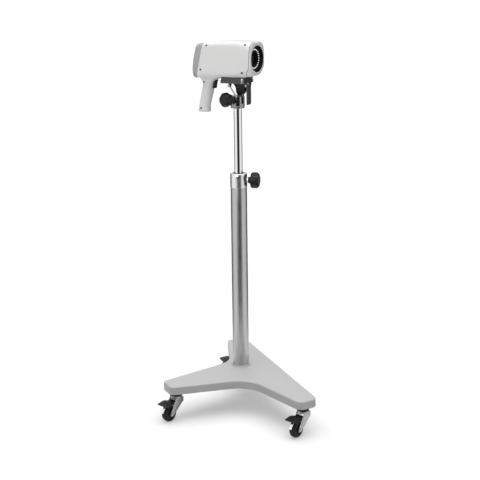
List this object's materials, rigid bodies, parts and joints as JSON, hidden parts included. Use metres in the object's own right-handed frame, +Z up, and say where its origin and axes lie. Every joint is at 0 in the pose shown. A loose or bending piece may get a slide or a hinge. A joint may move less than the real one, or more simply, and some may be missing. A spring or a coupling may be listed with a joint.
{
  "type": "video colposcope",
  "caption": "Video colposcope: white camera head with pistol grip and ring lamp on a tilting, turning mount, chrome pole in a clamped column, three-legged castor base.",
  "frame": {"origin": "on the floor under the middle of the bounding box", "axes": "+X is the way the camera looks, +Y its left, +Z up"},
  "size_m": [0.493, 0.5068, 1.1235],
  "materials": {
    "base_grey": "satin moulded",
    "column_steel": "satin",
    "chrome": "polished",
    "polished_alu": "polished",
    "plain_steel": "plain",
    "screw_steel": "machined",
    "gloss_black": "gloss",
    "dark_plate": "anodised satin",
    "knob_black": "fine grain",
    "lever_grey": "satin",
    "white_housing": "satin moulded",
    "pale_grey": "fine grain",
    "mid_grey": "fine grain",
    "lens_black": "gloss",
    "lamp_white": "clear dome",
    "glass": "coated",
    "board_green": "laminate",
    "guide_nylon": "natural",
    "tread_rubber": "matte",
    "core_grey": "moulded"
  },
  "bodies": {
    "base": {"base_shell": "base_grey", "base_spider": "plain_steel", "base_screws": "screw_steel", "column_tube": "column_steel", "column_plug": "plain_steel", "column_bolt": "screw_steel", "foot_ring": "base_grey", "column_collar": "polished_alu", "column_bush": "knob_black", "left_castor_cup": "knob_black", "right_castor_cup": "knob_black", "rear_castor_cup": "knob_black"},
    "height_knob_turn": {"height_knob": "knob_black", "height_knob_stud": "chrome"},
    "pole": {"pole_tube": "chrome", "pole_guide": "guide_nylon"},
    "pan_head": {"pole_socket": "gloss_black"},
    "pan_knob_turn": {"pan_knob": "knob_black", "pan_knob_stud": "chrome"},
    "camera_head": {"tilt_block": "gloss_black", "tilt_axle": "chrome", "plate_carrier": "dark_plate", "quick_release_plate": "dark_plate", "camera_screw": "screw_steel", "lever_pins": "chrome", "housing_right": "white_housing", "housing_left": "white_housing", "front_bezel": "pale_grey", "lens_face": "lens_black", "led_board": "board_green", "led_lamps": "lamp_white", "lens_barrel": "lens_black", "front_glass": "glass", "camera_module": "lens_black", "main_board": "board_green", "rear_cap": "mid_grey", "grip_right": "white_housing", "grip_left": "white_housing", "housing_screws": "screw_steel", "grip_screws": "screw_steel", "trigger_pin": "chrome", "trigger_switch": "lens_black"},
    "clamp_lever_swing": {"clamp_lever": "lever_grey"},
    "release_lever_swing": {"release_lever": "chrome"},
    "trigger_swing": {"trigger": "knob_black"},
    "left_castor": {"left_castor_fork": "chrome", "left_castor_axle": "chrome"},
    "left_wheel": {"left_castor_tread": "tread_rubber", "left_castor_core": "core_grey"},
    "left_pedal": {"left_castor_pedal": "knob_black"},
    "right_castor": {"right_castor_fork": "chrome", "right_castor_axle": "chrome"},
    "right_wheel": {"right_castor_tread": "tread_rubber", "right_castor_core": "core_grey"},
    "right_pedal": {"right_castor_pedal": "knob_black"},
    "rear_castor": {"rear_castor_fork": "chrome", "rear_castor_axle": "chrome"},
    "rear_wheel": {"rear_castor_tread": "tread_rubber", "rear_castor_core": "core_grey"},
    "rear_pedal": {"rear_castor_pedal": "knob_black"}
  },
  "joints": [
    {"name": "pole_height", "type": "slide", "parent": "base", "child": "pole", "axis": [0, 0, 1], "range_m": [-0.18, 0.187]},
    {"name": "height_knob_turn", "type": "hinge", "parent": "base", "child": "height_knob_turn", "pos_m": [-0.08037, 0.03473, 0.7075], "axis": [0.9613, 0.2756, 0], "range_deg": [0, 360]},
    {"name": "head_pan", "type": "hinge", "parent": "pole", "child": "pan_head", "pos_m": [-0.08037, 0.03473, 0.9255], "axis": [0, 0, 1], "range_deg": [-180, 180]},
    {"name": "pan_knob_turn", "type": "hinge", "parent": "pan_head", "child": "pan_knob_turn", "pos_m": [-0.08037, 0.03473, 0.9535], "axis": [-0.2924, -0.9563, 0], "range_deg": [0, 360]},
    {"name": "head_tilt", "type": "hinge", "parent": "pan_head", "child": "camera_head", "pos_m": [-0.06837, 0.03473, 0.977], "axis": [0, 1, 0], "range_deg": [-18, 18]},
    {"name": "clamp_lever_swing", "type": "hinge", "parent": "camera_head", "child": "clamp_lever_swing", "pos_m": [-0.04537, 0.03473, 0.9935], "axis": [0, 1, 0], "range_deg": [-75, 0]},
    {"name": "release_lever_swing", "type": "hinge", "parent": "camera_head", "child": "release_lever_swing", "pos_m": [-0.09437, 0.01023, 0.9935], "axis": [0, 1, 0], "range_deg": [-15, 0], "stiffness_Nm_per_rad": 0.05, "springref_deg": 8.59},
    {"name": "trigger_swing", "type": "hinge", "parent": "camera_head", "child": "trigger_swing", "pos_m": [-0.16137, 0.03473, 1.002], "axis": [0, 1, 0], "range_deg": [0, 12], "stiffness_Nm_per_rad": 0.12, "springref_deg": -8.59},
    {"name": "left_castor_swivel", "type": "hinge", "parent": "base", "child": "left_castor", "pos_m": [-0.18335, -0.18911, 0.075], "axis": [0, 0, 1], "continuous": true},
    {"name": "left_wheel_roll", "type": "hinge", "parent": "left_castor", "child": "left_wheel", "pos_m": [-0.18965, -0.2215, 0.025], "axis": [0.9816, -0.1908, 0], "continuous": true},
    {"name": "left_pedal_press", "type": "hinge", "parent": "left_castor", "child": "left_pedal", "pos_m": [-0.18602, -0.20285, 0.057], "axis": [0.9816, -0.1908, 0], "range_deg": [0, 8]},
    {"name": "right_castor_swivel", "type": "hinge", "parent": "base", "child": "right_castor", "pos_m": [0.20932, -0.1163, 0.075], "axis": [0, 0, 1], "continuous": true},
    {"name": "right_wheel_roll", "type": "hinge", "parent": "right_castor", "child": "right_wheel", "pos_m": [0.20303, -0.14869, 0.025], "axis": [0.9816, -0.1908, 0], "continuous": true},
    {"name": "right_pedal_press", "type": "hinge", "parent": "right_castor", "child": "right_pedal", "pos_m": [0.20665, -0.13004, 0.057], "axis": [0.9816, -0.1908, 0], "range_deg": [0, 8]},
    {"name": "rear_castor_swivel", "type": "hinge", "parent": "base", "child": "rear_castor", "pos_m": [-0.18917, 0.21511, 0.075], "axis": [0, 0, 1], "continuous": true},
    {"name": "rear_wheel_roll", "type": "hinge", "parent": "rear_castor", "child": "rear_wheel", "pos_m": [-0.21082, 0.1902, 0.025], "axis": [0.7547, -0.6561, 0], "continuous": true},
    {"name": "rear_pedal_press", "type": "hinge", "parent": "rear_castor", "child": "rear_pedal", "pos_m": [-0.19835, 0.20454, 0.057], "axis": [0.7547, -0.6561, 0], "range_deg": [0, 8]}
  ]
}
